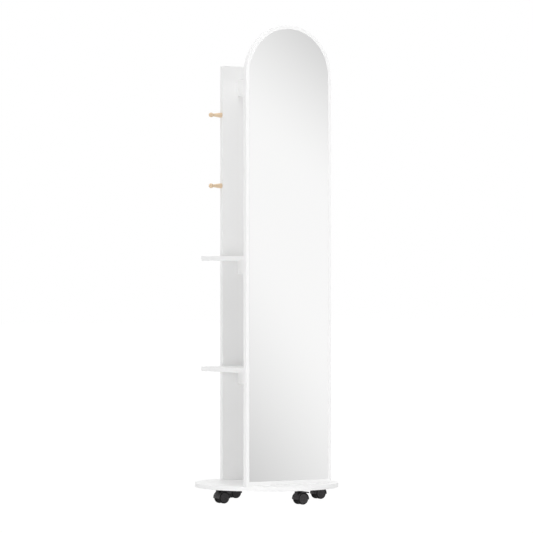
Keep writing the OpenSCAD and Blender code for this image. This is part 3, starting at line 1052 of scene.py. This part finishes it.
@dataclass(frozen=True)
class Caster:
    """One twin-wheel caster: plate, moulded housing and two turned wheels. Angles are in degrees."""

    corner: Corner
    plate_corner: float = 4.0 * MM
    plate_ease: float = 0.5 * MM
    plate_margin: float = 0.2 * MM
    housing_ease: float = 0.45 * MM
    housing_weld: float = 0.001 * MM
    ease_segments: int = 3
    flat: float = 0.5
    sharp: float = 30.0
    wheel_steps: int = 96
    tread: float = 2.6 * MM
    bore: float = 2.55 * MM
    bore_end: float = 1.8 * MM
    lip: float = 0.3 * MM
    crown: float = 3.5 * MM
    crown_steps: int = 12
    rim: float = 2.0 * MM
    dish: float = 1.4 * MM
    fillet: float = 0.35 * MM
    hub: float = 8.0 * MM
    cap_inset: float = 0.2 * MM
    cap_rings: tuple[float, float, float] = (3.2 * MM, 2.9 * MM, 2.4 * MM)
    cap_step: float = 0.25 * MM

    def node(self, part: str) -> str:
        """The CAD node of one of the caster's parts."""
        return f"{self.corner.value}_caster_{part}"

    def wheel_profile(self, radius: float, width: float) -> np.ndarray:
        """Radius and height of a wheel from its bore, over the tread, to the middle of its dished face.

        Two quarter circles of the crown's radius make the tread's edges. The corner at the bore's end is
        small, because the axle's sharp end stands close to it.

        Args:
            radius: The tread's radius.
            width: The wheel's width.

        Returns:
            (m, 2) array.
        """
        bore, lip, crown, dish, hub, fillet = (
            self.bore, self.lip, self.crown, self.dish, self.hub, self.fillet,
        )
        flat, bore_depth = radius - crown, width - self.bore_end
        rim, cap = flat - self.rim, width - self.cap_inset
        a = np.linspace(0.0, math.pi / 2, self.crown_steps + 1)
        inner = np.column_stack((flat + crown * np.sin(a), crown - crown * np.cos(a)))
        outer = np.column_stack((flat + crown * np.cos(a), width - crown + crown * np.sin(a)))
        holed = [
            (lip, bore_depth), (bore - lip / 4, bore_depth), (bore, bore_depth - lip / 4), (bore, lip),
            (bore + lip, 0.0), (bore + 3 * lip, 0.0), (flat - lip, 0.0),
        ]
        dished = [
            (rim + fillet, width), (rim, width - fillet / 4), (rim - fillet, width - fillet),
            (rim - dish, width - dish + fillet / 4), (rim - dish - fillet, width - dish),
            (hub + fillet, width - dish), (hub, width - dish + fillet / 4),
            (hub - dish + fillet, cap - fillet), (hub - dish, cap - fillet / 4), (hub - dish - fillet, cap),
            *zip(self.cap_rings, (cap, cap - self.cap_step, cap - lip), strict=True), (lip, cap - lip),
        ]
        return np.vstack((holed, inner, outer, dished))

    def wheel(self, part: str, shop: Workshop) -> None:
        """Turns one wheel, with its dished face away from the housing.

        Args:
            part: The wheel's part of its CAD node's name.
            shop: The finishes and the frame's nodes.
        """
        box, housing = corners_of(self.node(part)), corners_of(self.node("housing"))
        side = np.sign(box[:, 1].sum() - housing[:, 1].sum())
        hub = box.mean(axis=0)
        hub[1] = box[0, 1] if side > 0 else box[1, 1]
        turn = np.array((Facing.REAR if side > 0 else Facing.FRONT).value, float)
        radius = np.ptp(box[:, 2]) / 2
        stations = self.wheel_profile(radius, np.ptp(box[:, 1]))
        tread = np.flatnonzero(stations[:, 0] > radius - self.tread)
        shell = Shell()
        grid = shell.sweep(circle(0.0, self.wheel_steps), stations * (-1, 1), slice(tread[0], tread[-1] + 1))
        shell.close(grid[0], upwards=False)
        shell.close(grid[-1], upwards=True)
        shop.stand_for(shell.make(f"{self.corner.value}_{part}_turned", Axes(hub, turn)), self.node(part))

    def housing(self, shop: Workshop) -> None:
        """The moulded housing: the CAD solid with its edges and inner corners rounded.

        Args:
            shop: The finishes and the frame's nodes.
        """
        node = self.node("housing")
        work = bmesh.new()
        work.from_mesh(shop.nodes[node].data)
        bmesh.ops.remove_doubles(work, verts=work.verts, dist=self.housing_weld)
        level = math.radians(self.flat)
        bmesh.ops.dissolve_limit(work, angle_limit=level, verts=work.verts, edges=work.edges)
        mesh = bpy.data.meshes.new(f"{self.corner.value}_housing_moulded")
        work.to_mesh(mesh)
        work.free()
        mesh.polygons.foreach_set("use_smooth", np.ones(len(mesh.polygons), bool))
        piece = bpy.data.objects.new(mesh.name, mesh)
        bpy.context.scene.collection.objects.link(piece)
        bevel = piece.modifiers.new("rounded_edges", "BEVEL")
        bevel.width, bevel.segments = self.housing_ease, self.ease_segments
        bevel.limit_method, bevel.angle_limit = "ANGLE", math.radians(self.sharp)
        bevel.use_clamp_overlap = True
        bevel.harden_normals = True
        shop.stand_for(piece, node)

    def plate(self, shop: Workshop) -> None:
        """The pressed plate, with rounded corners and edges.

        Args:
            shop: The finishes and the frame's nodes.
        """
        axes, size = axes_of(self.node("plate"), Facing.UP)
        press = Boards(ease=self.plate_ease, margin=self.plate_margin)
        outline = rectangle(size[0], size[1], self.plate_corner, press.margin)
        piece = press.board(f"{self.corner.value}_plate_pressed", axes, outline, size[2], press.ease)
        shop.stand_for(piece, self.node("plate"))

    def build(self, shop: Workshop) -> None:
        """Makes the caster's pieces and dresses its pin and axle.

        Args:
            shop: The finishes and the frame's nodes.
        """
        self.plate(shop)
        self.housing(shop)
        for part in ("near_wheel", "far_wheel"):
            self.wheel(part, shop)
        for part in ("kingpin", "axle"):
            shop.keep(self.node(part))


@dataclass(frozen=True)
class Hardware:
    """Screws, locks, pins, dowels and washers that keep their CAD shape."""

    names: tuple[str, ...] = ("peg_screws", "cam_pins", "cam_locks", "wood_dowels", "base_screws",
                              "caster_screws", "thrust_washers")

    def build(self, shop: Workshop) -> None:
        """Dresses each fitting."""
        for name in self.names:
            shop.keep(name)


# ---- Studio -------------------------------------------------------------------------------


@dataclass(frozen=True)
class Lamp:
    """A round soft lamp, aimed at the cabinet's middle."""

    name: str
    place: tuple[float, float, float]
    size: float
    power: float
    aim: tuple[float, float, float] = (0.0, 0.0, 0.8)

    def build(self) -> None:
        """Hangs up the lamp."""
        data = bpy.data.lights.new(self.name, "AREA")
        data.shape, data.size, data.energy = "DISK", self.size, self.power
        made = bpy.data.objects.new(self.name, data)
        made.location = self.place
        made.rotation_euler = (Vector(self.aim) - made.location).to_track_quat("-Z", "Y").to_euler()
        bpy.context.scene.collection.objects.link(made)


@dataclass(frozen=True)
class Dimming:
    """A smooth step between two tones on the mirror's card, along height plus slant times width."""

    slant: float
    start: float
    stop: float
    tones: tuple[float, float]


@dataclass(frozen=True)
class Studio:
    """Camera, lamps, floor, sky and the card that the mirror shows."""

    camera_at: tuple[float, float, float] = (-5.96, -9.265, 0.818)
    camera_turn: float = -32.75
    lens: float = 213.4
    sensor: float = 36.0
    clip: tuple[float, float] = (0.1, 200.0)
    lamps: tuple[Lamp, ...] = (
        Lamp("key", (0.2, -4.0, 1.6), 3.0, 26.0),
        Lamp("fill", (-3.0, -2.2, 0.5), 1.5, 27.0),
        Lamp("side_fill", (-3.6, -0.9, 0.4), 1.5, 2.5),
        Lamp("overhead", (0.0, 0.0, 5.0), 4.0, 26.0),
        Lamp("top_front", (-0.8, -1.8, 4.2), 2.5, 18.0),
    )
    zenith: float = 1.26
    floor_size: float = 60.0
    floor_glow: float = 0.915
    floor_white: float = 1.03
    shadow_share: float = 0.04
    shade_from: float = 0.20
    shade_to: float = 0.30
    shade_tone: float = 0.42
    card_y: float = -1.1
    card_x: tuple[float, float] = (-3.0, 3.0)
    card_z: tuple[float, float] = (0.0, 2.6)
    card_tone: float = 0.975
    card_dimmings: tuple[Dimming, ...] = (
        Dimming(0.752, 1.647, 2.970, (1.0, 0.344)),
        Dimming(1.182, -0.270, 1.507, (0.426, 1.0)),
    )

    def camera(self) -> None:
        """A level camera with a long lens, at the left front."""
        data = bpy.data.cameras.new("camera")
        data.lens, data.sensor_width = self.lens, self.sensor
        data.clip_start, data.clip_end = self.clip
        made = bpy.data.objects.new("camera", data)
        made.location = self.camera_at
        made.rotation_euler = (math.radians(90), 0.0, math.radians(self.camera_turn))
        bpy.context.scene.collection.objects.link(made)
        bpy.context.scene.camera = made

    def world(self) -> None:
        """A sky that is brightest overhead, and plain white where the camera, metal or glass sees it."""
        world = bpy.data.worlds.new("sky")
        world.use_nodes = True
        bpy.context.scene.world = world
        tree = world.node_tree
        place = tree.nodes.new("ShaderNodeTexCoord")
        parts = tree.nodes.new("ShaderNodeSeparateXYZ")
        height = tree.nodes.new("ShaderNodeMapRange")
        height.inputs["To Max"].default_value = self.zenith
        level = tree.nodes.new("ShaderNodeMapRange")
        level.inputs["To Max"].default_value = 1.0
        background = tree.nodes["Background"]
        background.inputs["Color"].default_value = colour(1.0, 1.0, 1.0)
        tree.links.new(place.outputs["Generated"], parts.inputs[0])
        tree.links.new(parts.outputs["Z"], height.inputs["Value"])
        seen = self.seen(tree, tree.nodes.new("ShaderNodeLightPath"))
        tree.links.new(seen, level.inputs["Value"])
        tree.links.new(height.outputs[0], level.inputs["To Min"])
        tree.links.new(level.outputs[0], background.inputs["Strength"])

    @staticmethod
    def seen(tree: bpy.types.NodeTree, path: bpy.types.Node) -> bpy.types.NodeSocket:
        """1 for camera, glossy and transmission rays, else 0.

        Args:
            tree: The node tree to add to.
            path: Its Light Path node.

        Returns:
            The socket that tells.
        """
        total = path.outputs["Is Camera Ray"]
        for name in ("Is Glossy Ray", "Is Transmission Ray"):
            top = tree.nodes.new("ShaderNodeMath")
            top.operation = "MAXIMUM"
            tree.links.new(total, top.inputs[0])
            tree.links.new(path.outputs[name], top.inputs[1])
            total = top.outputs[0]
        return total

    def floor(self) -> None:
        """A floor that lights the cabinet, less under the base, and looks white but for a faint shadow."""
        half = self.floor_size / 2
        square = [(-half, -half, 0.0), (half, -half, 0.0), (half, half, 0.0), (-half, half, 0.0)]
        plane = self.sheet("floor", square)
        shader = Shader("pale_floor")
        path = shader.node("ShaderNodeLightPath")
        seen = self.seen(shader.tree, path)
        away = shader.node("ShaderNodeVectorMath", {0: shader.place}, operation="LENGTH").outputs["Value"]
        lit = shader.step(away, (self.shade_from, self.shade_to), (self.shade_tone, 1.0))
        level = shader.math("MULTIPLY", lit, self.floor_glow)
        pale = shader.node("ShaderNodeEmission", {"Strength": level})
        mirrored = shader.node("ShaderNodeEmission", {"Strength": lit})
        shaded = shader.node("ShaderNodeBsdfDiffuse", {"Color": colour(1.0, 1.0, 1.0)})
        glow = shader.node("ShaderNodeEmission", {"Strength": self.floor_white})
        white = shader.mixed(self.shadow_share, glow, shaded)
        both = shader.mixed(seen, pale, white)
        shader.show(shader.mixed(path.outputs["Is Glossy Ray"], both, mirrored))
        plane.data.materials.append(shader.material)

    def card(self) -> None:
        """A pale card that only reflections see, dimmer towards its upper right and lower left."""
        (left, right), (low, high) = self.card_x, self.card_z
        y = self.card_y
        corners = [(left, y, low), (left, y, high), (right, y, high), (right, y, low)]
        sheet = self.sheet("mirror_card", corners)
        for ray in ("camera", "diffuse", "transmission", "shadow", "volume_scatter"):
            setattr(sheet, f"visible_{ray}", False)
        shader = Shader("slanting_grey")
        parts = shader.node("ShaderNodeSeparateXYZ", {"Vector": shader.place})
        tone: object = self.card_tone
        for dimming in self.card_dimmings:
            slanting = shader.math("MULTIPLY_ADD", parts.outputs["X"], dimming.slant, parts.outputs["Z"])
            step = shader.step(slanting, (dimming.start, dimming.stop), dimming.tones)
            tone = shader.math("MULTIPLY", tone, step)
        glow = shader.node("ShaderNodeEmission", {"Strength": tone})
        shader.show(glow)
        sheet.data.materials.append(shader.material)

    @staticmethod
    def sheet(name: str, corners: Sequence[tuple[float, float, float]]) -> bpy.types.Object:
        """A flat four-sided sheet for the stage.

        Args:
            name: The sheet's name.
            corners: Its corners in order.

        Returns:
            The new object.
        """
        mesh = bpy.data.meshes.new(name)
        mesh.from_pydata(corners, [], [(0, 1, 2, 3)])
        made = bpy.data.objects.new(name, mesh)
        bpy.context.scene.collection.objects.link(made)
        return made

    def build(self) -> None:
        """Sets up the stage."""
        bpy.context.scene.view_settings.view_transform = "Standard"
        self.camera()
        for lamp in self.lamps:
            lamp.build()
        self.world()
        self.floor()
        self.card()


def main() -> None:
    """Builds the stage and then the cabinet, sub-assembly by sub-assembly."""
    logging.basicConfig(level=logging.INFO, format="%(name)s: %(message)s")
    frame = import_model()
    Studio().build()
    shop = Workshop(frame)
    Boards().build(shop)
    Glass().build(shop)
    Pegs().build(shop)
    for corner in Corner:
        Caster(corner).build(shop)
    Hardware().build(shop)


if __name__ == "__main__":
    main()
